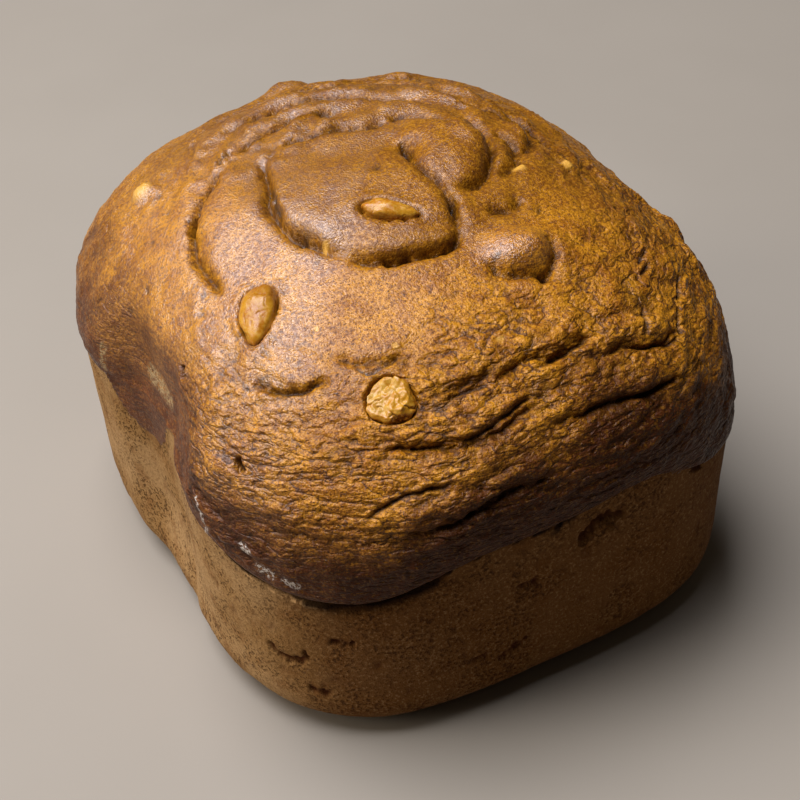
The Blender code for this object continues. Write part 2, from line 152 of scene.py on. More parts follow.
# Cracks: depth, half width and places. They are narrow, with painted shade at the bottom.
CRACKS = (
    (2.6, 0.85, ((243, 2.705), (245, 2.706), (249.5, 2.712), (253, 2.712))),
    (1.8, 0.50, ((254, 2.712), (257.5, 2.712), (262, 2.716), (266, 2.722), (270, 2.745))),
    (2.4, 0.80, ((272, 2.775), (274, 2.79), (276, 2.806), (277, 2.82))),
    (2.6, 0.90, ((320, 2.972), (300, 2.962), (286, 2.942))),
    (1.6, 0.70, ((177.5, 2.768), (185.5, 2.756), (193, 2.743), (201, 2.731))),
    (3.0, 0.75, ((176, 2.566), (173, 2.577), (170, 2.595), (168, 2.61))),
    (1.5, 0.50, ((146, 2.67), (141, 2.68), (136, 2.69))),
    (1.5, 0.50, ((158, 2.64), (158, 2.68))),
    (3.0, 0.70, ((219.3, 2.212), (220.1, 2.195), (221, 2.175))),
    (2.4, 0.60, ((200.3, 2.318), (201.2, 2.305), (202.2, 2.290))),
    (2.2, 0.85, ((281.4, 2.588), (283, 2.586), (284.8, 2.59))),
    (1.4, 0.55, ((252, 2.300), (257, 2.305), (260, 2.322), (265.5, 2.350), (268, 2.360))),
    (1.5, 0.60, ((269, 2.412), (274, 2.420), (277, 2.420), (280, 2.428), (284, 2.430))),
    (1.1, 0.50, ((253, 2.400), (257, 2.410), (262, 2.415))),
    (1.2, 0.50, ((275.5, 2.258), (279, 2.273), (285, 2.245), (290, 2.235))),
    (1.2, 0.55, ((239, 2.085), (243.5, 2.160), (248.5, 2.190), (254, 2.195))),
    (1.2, 0.50, ((248, 2.04), (253, 2.06), (258, 2.12), (264, 2.12))),
    (1.1, 0.50, ((246, 2.31), (249, 2.302), (252, 2.300))),
    (1.2, 0.50, ((294, 2.22), (289, 2.23), (283, 2.25))),
    (1.1, 0.45, ((288, 2.37), (291, 2.345), (294, 2.324), (297, 2.298), (300, 2.292))),
    (1.0, 0.45, ((298.5, 2.418), (295, 2.386), (292.5, 2.355))),
    (0.9, 0.45, ((313.5, 2.361), (309, 2.352), (306, 2.342))),
    (1.1, 0.50, ((308.5, 2.449), (306.5, 2.449), (303, 2.461))),
    (0.9, 0.45, ((220, 2.39), (224, 2.40), (228, 2.41), (233, 2.46))),
    (0.9, 0.45, ((236, 2.49), (240, 2.47), (243, 2.49), (246, 2.51))),
    (0.9, 0.45, ((312, 2.46), (306, 2.47))),
    (0.9, 0.45, ((305, 2.34), (299, 2.29))),
)

# Swells: place, height, radius along the bearing, radius up the crown. A dent is negative.
SWELLS = (
    ((232, 2.84), 3.0, 21.0, 16.0),
    ((330, 2.90), 3.2, 13.0, 10.0),
    ((282, 2.665), 3.2, 6.5, 6.0),
    ((290, 2.635), 1.6, 6.0, 6.0),
    ((88, 2.50), 2.6, 6.0, 4.0),
    ((334, 2.27), 1.6, 4.5, 4.0),
    ((145.5, 2.474), 2.4, 3.2, 3.2),
    ((180, 2.66), 1.6, 13.0, 9.0),
    ((296, 2.955), -1.8, 3.6, 5.0),
    ((322.5, 2.749), 0.7, 2.2, 1.6),
    ((334, 2.63), 0.6, 1.8, 1.5),
)
SWELL_EDGE = 1.2
# The solid has the first of these swells, none of them narrower than its smallest.
SOLID_SWELLS = 8
SMALLEST_SOLID_SWELL = 4.2

# Folds and cracks stray from their paths by noise of one size.
WANDER_SIZE = 3.2
FOLD_WANDER = 0.65
CRACK_WANDER = 0.45

# Spans of bearing in degrees with how far each fades: where the crust is wrinkled, smooth over
# the groove, rippled on the back of the top, and ragged at its edge.
FRONT = (214.0, 338.0, 26.0)
OVER_GROOVE = (172.0, 206.0, 14.0)
BACK_TOP = (-25.0, 145.0, 20.0)
RAGGED_EDGE = (252.0, 340.0, 12.0)
# The same for its looks: browned high up, partly as painted shade at the front right, browned on
# the left, smooth skin at the back, deep and high wrinkles, darkened most, partly by toasting and
# partly as painted shade, and a painted highlight along the rim.
HIGH_BROWN_AND_SHADE = (268.0, 350.0, 25.0)
LEFT_BROWN = (150.0, 200.0, 25.0)
BACK_SKIN = (-30.0, 125.0, 35.0)
DEEP_WRINKLES = (212.0, 340.0, 24.0)
HIGH_WRINKLES = (262.0, 350.0, 30.0)
TOASTED_AND_SHADED = (238.0, 375.0, 20.0)
RIM_HIGHLIGHT = (203.0, 229.0, 8.0)
# Wrinkles and ripples: their size along x, y and up, as they run round the loaf.
WIDE_HUMPS = (12.0, 12.0, 4.6)
SMALL_HUMPS = (5.6, 5.6, 2.5)
BACK_RIPPLES = (22.0, 22.0, 4.6)

# The lump on the right of the crown is smooth where the crust round it is wrinkled.
CALM_LUMP = (283, 2.655)
CALM_RADIUS = 9.0

# Pits in the crown: place, radius, depth.
CROWN_PITS = (
    ((214, 2.718), 1.3, 1.3),
    ((235, 2.912), 0.8, 1.0),
    ((158, 2.66), 0.7, 0.9),
    ((199, 2.47), 0.7, 0.9),
    ((179, 2.39), 0.7, 0.9),
)
SMALL_PITS = 70

# Pits in the pan side where crumb shows: half width, depth and places.
SIDE_PITS = (
    (1.6, 1.3, ((223.5, 0.55), (225.5, 0.51), (228, 0.52), (229.5, 0.56))),
    (1.3, 1.2, ((234, 0.72), (237, 0.71))),
    (1.6, 1.1, ((230, 0.335), (232.5, 0.32))),
    (0.8, 1.2, ((260, 0.31), (262, 0.33), (264.5, 0.36))),
    (1.2, 1.0, ((255.5, 0.35), (257.5, 0.37))),
    (1.4, 1.2, ((263, 0.70), (266, 0.68))),
    (2.0, 1.9, ((274.5, 0.80), (277.5, 0.86), (281, 0.84))),
    (0.9, 1.2, ((295.5, 0.985), (298, 0.975))),
)
# A lump of crumb stands in the largest pit: place, height, radius.
CRUMB_LUMP = ((279.2, 0.79), 1.5, 1.9)
SCATTERED_SIDE_PITS = 150
# Ranges of the scattered pits' radius and depth, on the crown and on the pan side.
CROWN_PIT_RADIUS = (0.45, 0.75)
CROWN_PIT_DEPTH = (0.35, 0.8)
SIDE_PIT_RADIUS = (0.45, 0.8)
SIDE_PIT_DEPTH = (0.25, 0.6)

# Walnut pieces: node, places its length runs from and to, length, width, height, how far its
# middle is sunk, how much it narrows to the second place, and the share of its half height at
# which it is broken flat.
WALNUTS = (
    ("walnut_crown", (236, 2.809), (255, 2.796), 12.8, 5.4, 5.6, 0.6, 0.18, 1.3),
    ("walnut_left", (211.3, 2.573), (215, 2.503), 14.4, 8.2, 6.4, 0.6, 0.30, 1.3),
    ("walnut_front", (241, 2.434), (247.3, 2.391), 10.4, 9.8, 6.8, 1.0, 0.15, 0.60),
)
WALNUT_LUMPS = 0.15
LUMPS_PER_RADIUS = 1.7
BREAK_SLANT = 0.25
NUT_POCKET_GAP = 0.25
# How deep each piece's furrows are, and where brown skin starts and is full, as shares of its
# half size: along its length, then across it.
NUT_LOOKS = {
    "walnut_crown": (0.10, (0.7, 1.4), (-0.6, -1.1)),
    "walnut_left": (0.08, (0.2, -1.2), (2.0, 3.0)),
    "walnut_front": (0.55, (0.9, 1.4), (2.0, 3.0)),
}

# The rim dips into the groove as a tongue of crust: bearing, half width in degrees, drop.
TONGUE = (180.5, 8.8, 12.8)
# The crust's edge stands off the pan side and shades a gap: bearing, half width, depth, height.
RIM_GAPS = (
    (239.0, 9.5, 3.0, 1.25),
    (224.0, 15.0, 1.5, 0.7),
    (262.0, 18.0, 0.9, 0.6),
    (296.7, 1.6, 1.6, 0.6),
)
# How far below the edge the gap and its shade lie.
GAP_BELOW_EDGE = 0.6
SHADE_BELOW_EDGE = 1.1
# The crust's edge is this much thicker, and its relief fades in above it.
EDGE_THICKNESS = 0.5
EDGE_EASING = 5.0

# Pale dust from the lining of the pan: half width, and places along each smear.
DUST = (
    (0.9, ((212.6, 1.89), (213.3, 1.66), (213.8, 1.35), (214.2, 1.05))),
    (1.3, ((221.6, 1.56), (222.6, 1.52))),
    (1.6, ((224.4, 1.33), (226, 1.27))),
    (1.3, ((228.3, 1.28), (229.8, 1.24))),
)
# Flakes of pale pan skin on the crust: half width, and places.
FLAKES = (
    (3.0, ((183.5, 2.06), (187.3, 2.07), (191.5, 2.05))),
    (1.1, ((171.0, 2.077), (170.6, 1.70), (170.3, 1.352))),
)
# Nut that tints the crust: radius and place.
NUT_TINTS = (
    (3.2, (145.5, 2.474)),
    (1.8, (322.5, 2.749)),
    (1.5, (334, 2.63)),
    (0.9, (222.5, 2.718)),
    (0.8, (228, 2.549)),
    (0.9, (245, 2.530)),
    (0.9, (266, 2.499)),
)

# The mesh: points along each side of the top patch, and the rows of rings below it.
PATCH_SIDE = 150
PATCH_LEVEL = 2.30
PATCH_CROWDING = 1.1
PATCH_BEND = 1.15
FOOT_ROWS = (0.0, 0.010, 0.022, 0.04, 0.065, 0.095, 0.13, 0.17)
FINE_NEAR_CRACK = 2.0
FINE_NEAR_FOLD = 1.6
FINE_NEAR_PIT = 1.2

# Kinds of node: the type and its settings.
COORDINATES = ("ShaderNodeTexCoord", {})
NOISE = ("ShaderNodeTexNoise", {})
BUMP = ("ShaderNodeBump", {})
PRINCIPLED = ("ShaderNodeBsdfPrincipled", {})
OUTPUT = ("ShaderNodeOutputMaterial", {})
MIX = ("ShaderNodeMix", {"data_type": "RGBA"})
RANGE = ("ShaderNodeMapRange", {"interpolation_type": "SMOOTHSTEP"})
STRETCH = ("ShaderNodeVectorMath", {"operation": "MULTIPLY"})
PLUS = ("ShaderNodeMath", {"operation": "ADD"})
MINUS = ("ShaderNodeMath", {"operation": "SUBTRACT"})
TIMES = ("ShaderNodeMath", {"operation": "MULTIPLY"})
LARGER = ("ShaderNodeMath", {"operation": "MAXIMUM"})
UNSIGNED = ("ShaderNodeMath", {"operation": "ABSOLUTE"})

# The numbers that each mesh stores for its material, in the order the material reads them.
CRUST_FIELDS = ("above_rim", "bake", "painted_shade", "crevice", "crumb", "dust", "flake", "nut_tint",
                "rim_highlight", "skin", "toasted_and_shaded", "wrinkled")
WALNUT_FIELDS = ("furrow", "broken_face", "skin")
# Patterns of each material: size in millimetres, detail and roughness of the noise. The crust's
# are wide tones, patches, grain, specks, the ragged edge, clusters of pores and pores.
CRUST_PATTERNS = ((18.0, 3.0, 0.55), (6.0, 3.0, 0.55), (0.85, 3.0, 0.75), (0.42, 1.0, 0.5),
                  (1.6, 3.0, 0.6), (9.0, 2.0, 0.55), (0.85, 3.0, 0.65))
WALNUT_PATTERNS = ((4.0, 2.0, 0.55), (0.7, 3.0, 0.55))
FLOOR_PATTERNS = ((120.0, 3.0, 0.55),)
# Wrinkle cells in millimetres, and how much flatter than wide they are.
CELL_SIZES = (8.0, 3.8)
CELL_STRETCH = (1.0, 1.0, 3.0)
CRUST_BUMP = 0.8
WALNUT_BUMP = 0.2
WALNUT_GLOW_DEPTH = 1.2

# The floor is 6 m square and lies just under the loaf, by a gap in millimetres.
FLOOR_SIZE = 6.0
FLOOR_GAP = 0.2

# Lights: name, direction they come from, distance and size in metres, watts and colour. They
# aim at a point this high in the loaf.
LIGHTS = (
    ("overhead_window", (-0.28, 0.20, 0.94), 1.2, 0.9, 27.0, "F6F6FF"),
    ("left_window", (-0.90, 0.18, 0.42), 1.3, 0.6, 6.0, "FFF4E6"),
)
LIT_HEIGHT = 0.06
ROOM_COLOUR = "FFEBD2"
ROOM_STRENGTH = 0.045

# The camera: sensor width and lens in millimetres, place in metres and turns in degrees.
SENSOR_WIDTH = 36.0
LENS = 69.384
CAMERA_PLACE = (-0.13085, -0.27627, 0.28529)
CAMERA_TURNS = (50.2335, 2.2462, -27.5430)


def smooth(low, high, value):
    """0 below low, 1 above high, and an S curve between."""
    t = np.clip((value - low) / (high - low), 0.0, 1.0)
    return t * t * (3.0 - 2.0 * t)


def curve(a, b, c, d, f):
    """A share f of the way from b to c, on the smooth curve through four."""
    return b + 0.5 * f * (c - a + f * (2 * a - 5 * b + 4 * c - d + f * (3 * (b - c) + d - a)))


def around(values, bearing):
    """A smooth closed curve through values spaced evenly round the loaf."""
    v = np.asarray(values, float)
    count = len(v)
    turn = (bearing / (2.0 * np.pi) * count) % count
    i = np.floor(turn).astype(int)
    a, b, c, d = (v[(i + k) % count] for k in (-1, 0, 1, 2))
    return curve(a, b, c, d, turn - i)


def superellipse(bearing, half_x, half_y, power):
    """Distance from the axis to a rounded rectangle at a bearing."""
    c = np.abs(np.cos(bearing)) / half_x
    s = np.abs(np.sin(bearing)) / half_y
    return (c ** power + s ** power) ** (-1.0 / power)


def groove(y, height):
    """How much of its full depth the pan's rib presses in."""
    across = (1.0 - GROOVE_LIP_SHARE) * smooth(*GROOVE_NEAR_LIP, y)
    across = across + GROOVE_LIP_SHARE * smooth(*GROOVE_NEAR_SLOPE, y)
    across = across * (1.0 - smooth(*GROOVE_FAR_SLOPE, y))
    foot = smooth(0.0, GROOVE_FOOT_HEIGHT, height)
    up = GROOVE_FOOT_SHARE + (1.0 - GROOVE_FOOT_SHARE) * foot
    return across * up * (1.0 - smooth(*GROOVE_TOP, height))


def drawn_in(y, height):
    """How much of its bulge the crown loses over the left groove."""
    across = smooth(*DRAWN_IN_NEAR, y) * (1.0 - smooth(*DRAWN_IN_FAR, y))
    return DRAWN_IN * across * (1.0 - smooth(*GROOVE_TOP, height))


def plain_loaf(bearing, level):
    """Points of the loaf without its folds, from bearings in radians and levels."""
    bearing, level = np.broadcast_arrays(np.asarray(bearing, float), np.asarray(level, float))
    rim = around(RIM_HEIGHT, bearing)
    wall = np.clip(level, 0.0, 1.0)
    under = np.clip(level - 1.0, 0.0, 1.0)
    dome = np.clip(level - 2.0, 0.0, 1.0) * np.pi / 2.0
    inward = np.cos(dome) ** (2.0 / SHOULDER_POWER)
    height = rim * wall + (WIDEST_HEIGHT - rim) * under
    height = height + (CROWN_TOP - WIDEST_HEIGHT) * np.sin(dome) ** (2.0 / RISE_POWER)
    power = PAN_POWER + (CROWN_PLAN_POWER - PAN_POWER) * under
    power = power + (TOP_PLAN_POWER - CROWN_PLAN_POWER) * (1.0 - inward)
    below = np.maximum(FOOT_ROUND - height, 0.0)
    foot = FOOT_ROUND - np.sqrt(np.maximum(FOOT_ROUND ** 2 - below ** 2, 0.0))
    reach = superellipse(bearing, FOOT_HALF_X, FOOT_HALF_Y, power)
    reach = reach + WALL_LEAN * np.minimum(height, LEAN_HEIGHT) - foot
    left = smooth(0.3, 0.8, -np.cos(bearing))
    right = smooth(0.3, 0.8, np.cos(bearing))
    bulge = around(CROWN_BULGE, bearing) * (1.0 - (1.0 - under) ** 2)
    bulge = bulge + around(CRUST_LIP, bearing) * smooth(0.0, LIP_RISE, under)
    reach = reach + bulge * (1.0 - left * drawn_in(reach * np.sin(bearing), height))
    x = reach * inward * np.cos(bearing) + TOP_LEANS[0] * (1.0 - inward)
    y = reach * inward * np.sin(bearing) + TOP_LEANS[1] * (1.0 - inward)
    pressed = groove(y, height) * inward
    x = x + pressed * (left * LEFT_GROOVE_DEPTH - right * RIGHT_GROOVE_DEPTH)
    return np.stack([x, y, height], axis=-1)


def place(spot):
    """The point of the plain loaf at a (bearing in degrees, level)."""
    return plain_loaf(math.radians(spot[0]), spot[1])


def ways(bearing, level):
    """Directions round the loaf and up it."""
    round_way = plain_loaf(bearing + STEP, level) - plain_loaf(bearing - STEP, level)
    up_way = plain_loaf(bearing, np.minimum(level + STEP, 2.999)) - plain_loaf(bearing, level - STEP)
    return round_way, up_way


def normals_at(bearing, level):
    """Outward normals of the plain loaf."""
    normal = np.cross(*ways(bearing, level))
    normal = normal / np.maximum(np.linalg.norm(normal, axis=-1), 1e-9)[..., None]
    return np.where(np.asarray(level > 2.98)[..., None], np.array([0.0, 0.0, 1.0]), normal)


def axes_at(spot):
    """Point, direction round the loaf, direction up it and outward normal at a place."""
    round_way, up_way = ways(math.radians(spot[0]), spot[1])
    round_way = round_way / np.linalg.norm(round_way)
    normal = np.cross(round_way, up_way)
    normal = normal / np.linalg.norm(normal)
    return place(spot), round_way, np.cross(normal, round_way), normal


def smooth_path(spots, steps=4):
    """A smooth curve on the loaf through places, as 3-D points."""
    p = [place(spot) for spot in spots]
    p = [2 * p[0] - p[1]] + p + [2 * p[-1] - p[-2]]
    path = []
    for a, b, c, d in zip(p, p[1:], p[2:], p[3:]):
        for f in np.arange(steps) / steps:
            path.append(curve(a, b, c, d, f))
    path.append(p[-2])
    return np.array(path)


def near_path(points, normals, path, reach):
    """Points within reach of a path: their numbers, distance, side (+1 left) and share along."""
    low = path.min(axis=0) - reach
    high = path.max(axis=0) + reach
    near = np.nonzero(np.all((points > low) & (points < high), axis=1))[0]
    p = points[near]
    best = np.full(len(near), 1e9)
    along = np.zeros(len(near))
    side = np.ones(len(near))
    for i, (a, b) in enumerate(zip(path, path[1:])):
        run = b - a
        f = np.clip((p - a) @ run / (run @ run), 0.0, 1.0)
        offset = p - a - f[:, None] * run
        gap = np.linalg.norm(offset, axis=1)
        nearer = gap < best
        best = np.where(nearer, gap, best)
        along = np.where(nearer, (i + f) / (len(path) - 1), along)
        leftward = np.einsum("ij,ij->i", np.cross(normals[near], run), offset)
        side = np.where(nearer, np.sign(leftward), side)
    return near, best, side, along


def lumps(points, size, seed, octaves=3):
    """Fractal noise of about -1 to 1 in lumps of this size, in the same units as the points."""
    shift = Vector((seed * 7.3, seed * 3.1, seed * 5.7))
    made = [noise.fractal(Vector(p) + shift, 1.0, 2.0, octaves) for p in points / size]
    return np.array(made)


def stretched(bearing, level):
    """Coordinates in millimetres on an upright drum, for noise that runs round the loaf."""
    up = 14.0 * np.clip(level - 1.0, -1.0, 1.0) + 90.0 * np.maximum(level - 2.0, 0.0)
    drum = 72.0 * np.minimum(1.0, 2.6 * (3.0 - level))
    return np.stack([drum * np.cos(bearing), drum * np.sin(bearing), up], axis=-1)


def turned_from(bearing, middle):
    """Degrees from a middle bearing in degrees, -180 to 180."""
    return (np.degrees(bearing) - middle + 180.0) % 360.0 - 180.0


def within(bearing, low, high, fade):
    """1 for bearings in degrees between low and high, fading to 0 outside."""
    off = np.abs(turned_from(bearing, (low + high) / 2.0))
    return 1.0 - smooth((high - low) / 2.0, (high - low) / 2.0 + fade, off)


def patch_places(count, edge_level):
    """Bearings and levels of a square grid laid over the top of the crown."""
    a = np.linspace(-1.0, 1.0, count + 1)
    a = np.sin(a * PATCH_CROWDING) / math.sin(PATCH_CROWDING)
    x, y = np.meshgrid(a, a, indexing="ij")
    disc_x = x * np.sqrt(1.0 - y * y / 2.0)
    disc_y = y * np.sqrt(1.0 - x * x / 2.0)
    edge = math.cos((edge_level - 2.0) * math.pi / 2.0) ** (2.0 / SHOULDER_POWER)
    disc = np.minimum(np.hypot(disc_x, disc_y), 1.0)
    inward = edge * np.sin(PATCH_BEND * disc) / math.sin(PATCH_BEND)
    dome = np.arccos(np.clip(inward, 0.0, 1.0) ** (SHOULDER_POWER / 2.0))
    return np.arctan2(disc_y, disc_x), 2.0 + dome / (np.pi / 2.0)


def edge_walk(count):
    """The grid's edge points in order, anticlockwise seen from above."""
    front = [(k, 0) for k in range(count)]
    right = [(count, k) for k in range(count)]
    back = [(count - k, count) for k in range(count)]
    left = [(0, count - k) for k in range(count)]
    return front + right + back + left


def ring_levels():
    """Levels of the rows from the foot to the patch, closest together at the rim."""
    wall = np.arange(0.205, 0.94, 0.035)
    rim = np.array([0.95, 0.965, 0.98, 0.99, 1.0, 1.03, 1.06, 1.09, 1.12, 1.16, 1.20])
    under = np.arange(1.27, 2.0, 0.072)
    shoulder = np.arange(2.0, PATCH_LEVEL - 0.006, 0.0125)
    return np.concatenate([FOOT_ROWS, wall, rim, under, shoulder])


def laid_flat():
    """The loaf's surface as a flat mesh: distance from the middle is 3 less the level."""
    count = PATCH_SIDE
    bearing, level = patch_places(count, PATCH_LEVEL)
    walk = edge_walk(count)
    ring_bearing = np.array([bearing[spot] for spot in walk])
    rows = ring_levels()
    ring = len(walk)
    b = np.concatenate([np.tile(ring_bearing, len(rows)), bearing.ravel()])
    t = np.concatenate([np.repeat(rows, ring), level.ravel()])
    flat = np.stack([(3.0 - t) * np.cos(b), (3.0 - t) * np.sin(b), 0.0 * t], axis=-1)
    faces = [tuple(range(ring - 1, -1, -1))]
    for row in range(len(rows) - 1):
        for k in range(ring):
            n = (k + 1) % ring
            faces.append((row * ring + k, row * ring + n, (row + 1) * ring + n, (row + 1) * ring + k))
    first = len(rows) * ring
    last = first - ring
    number = {(i, j): first + i * (count + 1) + j for i in range(count + 1) for j in range(count + 1)}
    for k in range(ring):
        n = (k + 1) % ring
        faces.append((last + k, last + n, number[walk[n]], number[walk[k]]))
    for i in range(count):
        for j in range(count):
            faces.append((number[(i, j)], number[(i + 1, j)],
                          number[(i + 1, j + 1)], number[(i, j + 1)]))
    return flat, faces


def places_of(flat):
    """Bearings and levels of points of the flat mesh."""
    return np.arctan2(flat[:, 1], flat[:, 0]), 3.0 - np.hypot(flat[:, 0], flat[:, 1])


def made_finer(flat, faces):
    """Cuts the flat mesh's cells in four near cracks, folds, pits and nuts."""
    bearing, level = places_of(flat)
    points = plain_loaf(bearing, level)
    normals = normals_at(bearing, level)
    fine = np.zeros(len(points), bool)
    runs = [(spots, half + FINE_NEAR_CRACK) for _, half, spots in CRACKS]
    runs += [(spots, half + FINE_NEAR_PIT) for half, _, spots in SIDE_PITS]
    runs += [(spots, FINE_NEAR_FOLD) for _, _, _, _, spots in FOLDS]
    runs += [((row[1], row[2]), row[4] / 2.0 + FINE_NEAR_PIT) for row in WALNUTS]
    for spots, reach in runs:
        near, gap, _, _ = near_path(points, normals, smooth_path(spots), reach)
        fine[near[gap < reach]] = True
    work = bmesh.new()
    verts = [work.verts.new(p) for p in flat]
    for face in faces:
        work.faces.new([verts[i] for i in face])
    work.verts.index_update()
    chosen = [e for e in work.edges if fine[e.verts[0].index] and fine[e.verts[1].index]]
    bmesh.ops.subdivide_edges(work, edges=chosen, cuts=1, use_grid_fill=True)
    many = [f for f in work.faces if 4 < len(f.verts) < 4 * PATCH_SIDE]
    bmesh.ops.triangulate(work, faces=many)
    work.verts.index_update()
    flat = np.array([v.co[:] for v in work.verts])
    faces = [tuple(v.index for v in f.verts) for f in work.faces]
    work.free()
    return flat, faces


def nut_axes(row):
    """Middle of a walnut piece with its long, side and outward directions."""
    _, end_a, end_b, _, _, _, sunk, _, _ = row
    spot = ((end_a[0] + end_b[0]) / 2.0, (end_a[1] + end_b[1]) / 2.0)
    centre, _, _, normal = axes_at(spot)
    lift = solid_relief(centre) - sunk
    long_way = place(end_b) - place(end_a)
    long_way = long_way - normal * (long_way @ normal)
    long_way = long_way / np.linalg.norm(long_way)
    return centre + normal * lift, long_way, np.cross(normal, long_way), normal


def swelling(points, row, smallest=0.0):
    """How far one swell lifts points of the plain loaf."""
    spot, height, wide, tall = row
    middle, round_way, up_way, normal = axes_at(spot)
    offset = points - middle
    wide = max(wide, smallest)
    tall = max(tall, smallest)
    r2 = (offset @ round_way / wide) ** 2 + (offset @ up_way / tall) ** 2
    r2 = r2 + (offset @ normal / (wide + tall)) ** 2
    return height * np.exp(-SWELL_EDGE * r2 ** 1.5)


def solid_relief(centre):
    """How far the big swells lift the crust at one point, as in the solid."""
    return sum(swelling(centre, row, SMALLEST_SOLID_SWELL) for row in SWELLS[:SOLID_SWELLS])


def crown_relief(points, normals, bearing, level):
    """How far the crown's points move out, their painted shade in cracks, creases and pits, and how near
    a fold.
    """
    out = np.zeros(len(points))
    # dark is painted shade: the colour is darkened in cracks, fold valleys, wrinkle creases, ripple
    # lines and pits.
    dark = np.zeros(len(points))
    crevice = np.zeros(len(points))
    for row in SWELLS:
        out += swelling(points, row)

    wander = np.stack([lumps(points, WANDER_SIZE, seed, 2) for seed in (11, 12, 13)], axis=-1)
    strayed = points + FOLD_WANDER * wander
    for depth, half, left, right, spots in FOLDS:
        near, gap, side, along = near_path(strayed, normals, smooth_path(spots), 10.0 * half)
        ends = smooth(0.0, 0.12, along) * (1.0 - smooth(0.88, 1.0, along))
        valley = 0.55 * np.exp(-(gap / (0.9 * half)) ** 1.3)
        valley = valley + 0.45 * np.exp(-(gap / (0.38 * half)) ** 2)
        swell = np.where(side > 0.0, left, right)
        past = gap - 1.9 * half
        fading = np.where(past < 0.0, 1.3 * half, (1.5 + 2.5 * swell) * half)
        out[near] += ends * (swell * np.exp(-(past / fading) ** 2) - depth * valley)
        crumbly = lumps(points[near], 1.5, 31, 2) * np.exp(-(gap / (1.2 * half)) ** 2)
        out[near] += 0.22 * ends * crumbly
        dark[near] = np.maximum(dark[near], 0.65 * ends * np.exp(-(gap / (0.36 * half)) ** 2))
        # crevice marks the fold's valley: its darker colour is partly crumbly crust and partly painted
        # shade.
        crevice[near] = np.maximum(crevice[near], ends * np.exp(-(gap / (1.1 * half)) ** 2))
    strayed = points + CRACK_WANDER * wander
    for depth, half, spots in CRACKS:
        near, gap, _, along = near_path(strayed, normals, smooth_path(spots), 4.0 * half)
        ends = smooth(0.0, 0.2, along) * (1.0 - smooth(0.8, 1.0, along))
        valley = np.exp(-(gap / half) ** 2)
        out[near] -= depth * ends * valley
        dark[near] = np.maximum(dark[near], ends * valley)

    front = within(bearing, *FRONT)
    low_crown = smooth(1.05, 1.3, level) * (1.0 - smooth(2.42, 2.62, level))
    far_side = 0.45 * (1.0 - front) * (1.0 - within(bearing, *OVER_GROOVE))
    wrinkled = low_crown * np.maximum(front, far_side)
    drum = stretched(bearing, level) + 1.3 * wander
    wide_humps = np.abs(lumps(drum / WIDE_HUMPS, 1.0, 21, 2))
    small_humps = np.abs(lumps(drum / SMALL_HUMPS, 1.0, 22, 2))
    deep = smooth(-0.2, 0.4, lumps(points, 14.0, 23, 2))
    relief = (1.0 + 1.2 * deep) * np.minimum(wide_humps, 0.45) + 0.9 * np.minimum(small_humps, 0.4)
    out += wrinkled * (relief - 0.6)
    dark = np.maximum(dark, wrinkled * (0.20 + 0.50 * deep) * np.exp(-(wide_humps / 0.09) ** 2))
    dark = np.maximum(dark, wrinkled * 0.25 * np.exp(-(small_humps / 0.09) ** 2))

    crinkled = 0.55 + 0.45 * smooth(-0.3, 0.3, lumps(points, 22.0, 24, 2))
    net = lumps(points, 6.0, 25, 3)
    mesh_lines = np.exp(-(net / 0.05) ** 2) * smooth(0.1, 0.45, np.abs(lumps(points, 5.0, 26, 2)))
    upper = smooth(2.2, 2.4, level)
    out -= 0.35 * upper * crinkled * mesh_lines
    dark = np.maximum(dark, 0.22 * upper * crinkled * mesh_lines)

    back_top = within(bearing, *BACK_TOP) * smooth(2.42, 2.55, level)
    back_top = back_top * (1.0 - smooth(2.84, 2.92, level))
    ripple = lumps(drum / BACK_RIPPLES, 1.0, 27, 2)
    out += back_top * (1.4 * ripple - 0.6 * np.exp(-(ripple / 0.09) ** 2))
    dark = np.maximum(dark, 0.3 * back_top * np.exp(-(ripple / 0.07) ** 2))

    out += 0.55 * lumps(points, 13.0, 28, 2) + 0.08 * lumps(points, 2.1, 29, 2)
    for spot, radius, depth in scattered_crown_pits():
        gap = np.linalg.norm(points - place(spot), axis=1)
        dip = np.exp(-(gap / radius) ** 2)
        out -= depth * dip
        dark = np.maximum(dark, dip)
    return out, dark, crevice


def scattered_crown_pits():
    """The named pits and small ones spread over the crown."""
    draw = random.Random(5)
    pits = list(CROWN_PITS)
    for _ in range(SMALL_PITS):
        spot = (draw.uniform(0.0, 360.0), 3.0 - math.sqrt(draw.uniform(0.0, 0.72)))
        pits.append((spot, draw.uniform(*CROWN_PIT_RADIUS), draw.uniform(*CROWN_PIT_DEPTH)))
    return pits


def side_relief(points, normals):
    """How far the pan side's points move out, and how much torn crumb shows there."""
    out = 0.30 * lumps(points, 14.0, 41, 2) + 0.07 * lumps(points, 2.0, 42, 2)
    crumb = np.zeros(len(points))
    for half, depth, spots in SIDE_PITS:
        near, gap, _, _ = near_path(points, normals, smooth_path(spots), 3.0 * half)
        gap = gap + 0.75 * half * lumps(points[near], 1.6, 43, 3) + 0.15 * half
        dip = 1.0 - smooth(0.35 * half, half, gap)
        out[near] -= 0.75 * depth * dip
        crumb[near] = np.maximum(crumb[near], dip)
    spot, height, radius = CRUMB_LUMP
    gap = np.linalg.norm(points - place(spot), axis=1)
    lump = 1.0 - smooth(0.3 * radius, radius, gap + 0.5 * lumps(points, 1.5, 44, 2))
    out += height * lump
    draw = random.Random(9)
    for _ in range(SCATTERED_SIDE_PITS):
        spot = (draw.uniform(0.0, 360.0), draw.uniform(0.12, 0.97))
        radius = draw.uniform(*SIDE_PIT_RADIUS) + 0.5 * draw.random() ** 4
        depth = draw.uniform(*SIDE_PIT_DEPTH)
        gap = np.linalg.norm(points - place(spot), axis=1)
        dip = np.exp(-(gap / radius) ** 3)
        out -= depth * dip
        crumb = np.maximum(crumb, 0.6 * dip)
    return out, crumb


